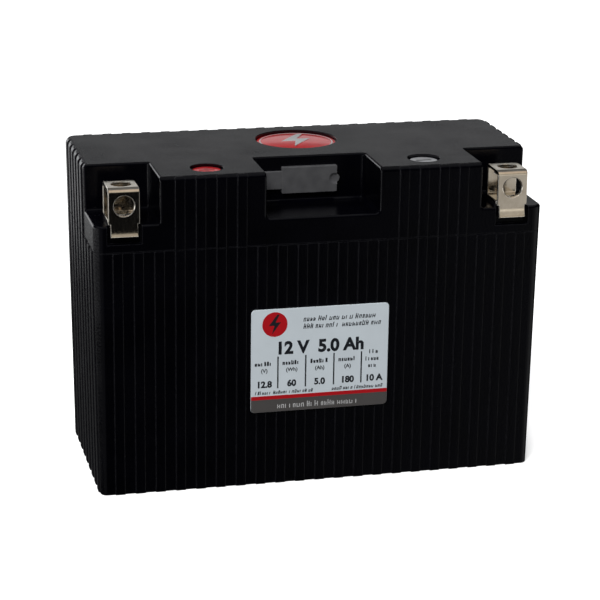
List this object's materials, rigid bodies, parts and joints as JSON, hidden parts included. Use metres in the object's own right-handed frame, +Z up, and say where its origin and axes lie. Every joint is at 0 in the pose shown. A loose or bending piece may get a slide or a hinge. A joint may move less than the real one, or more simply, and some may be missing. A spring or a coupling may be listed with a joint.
{
  "type": "motorcycle starter battery",
  "caption": "Ribbed black starter battery with folded strip terminals in open corner pockets, a middle notch and a rubber-capped charging port.",
  "frame": {"origin": "middle of the base, on the plane the battery stands on", "axes": "+Z up to the flat top; +X towards the negative terminal, along the length; -Y towards the side with the terminals, the notch and the front label"},
  "size_m": [0.148, 0.066, 0.105],
  "materials": {
    "case_plastic": "fine satin moulding grain",
    "sealant": "cured adhesive",
    "nickel": "satin nickel plate",
    "red_print": "printed film",
    "silver_print": "printed film",
    "grey_rubber": "soft satin rubber",
    "ivory_plastic": "moulded",
    "gilt_pin": "gilt",
    "pouch_foil": "creased laminate foil",
    "tab_aluminium": "rolled",
    "tab_copper": "rolled copper",
    "separator_sheet": "fibre paper",
    "circuit_board": "solder mask over glass fibre",
    "red_wire": "silicone insulation",
    "black_wire": "silicone insulation",
    "white_wire": "wire insulation",
    "foam": "closed-cell foam",
    "label_film": "printed film"
  },
  "bodies": {
    "root": {"case": "case_plastic", "cover": "case_plastic", "cover_seal": "sealant", "terminal_positive": "nickel", "terminal_negative": "nickel", "terminal_rivets": "nickel", "polarity_disc_positive": "red_print", "polarity_disc_negative": "silver_print", "badge_disc": "red_print", "port_cap_anchor": "grey_rubber", "port_connector_shell": "ivory_plastic", "port_pins": "gilt_pin", "cell_1": "pouch_foil", "cell_2": "pouch_foil", "cell_3": "pouch_foil", "cell_4": "pouch_foil", "cell_tabs_aluminium": "tab_aluminium", "cell_tabs_copper": "tab_copper", "cell_separators": "separator_sheet", "series_links": "tab_copper", "tab_board": "circuit_board", "lead_positive": "red_wire", "lead_negative": "black_wire", "lead_lugs": "nickel", "balance_leads": "white_wire", "foam_front": "foam", "foam_back": "foam", "foam_base": "foam", "foam_ends": "foam", "foam_top": "foam", "label_front": "label_film", "label_back": "label_film"},
    "port_cap": {"port_cap": "grey_rubber"}
  },
  "joints": [
    {"name": "port_cap_swing", "type": "hinge", "parent": "root", "child": "port_cap", "pos_m": [-0.0154, -0.01265, 0.0973], "axis": [0, 0, -1], "range_deg": [0, 95]}
  ]
}
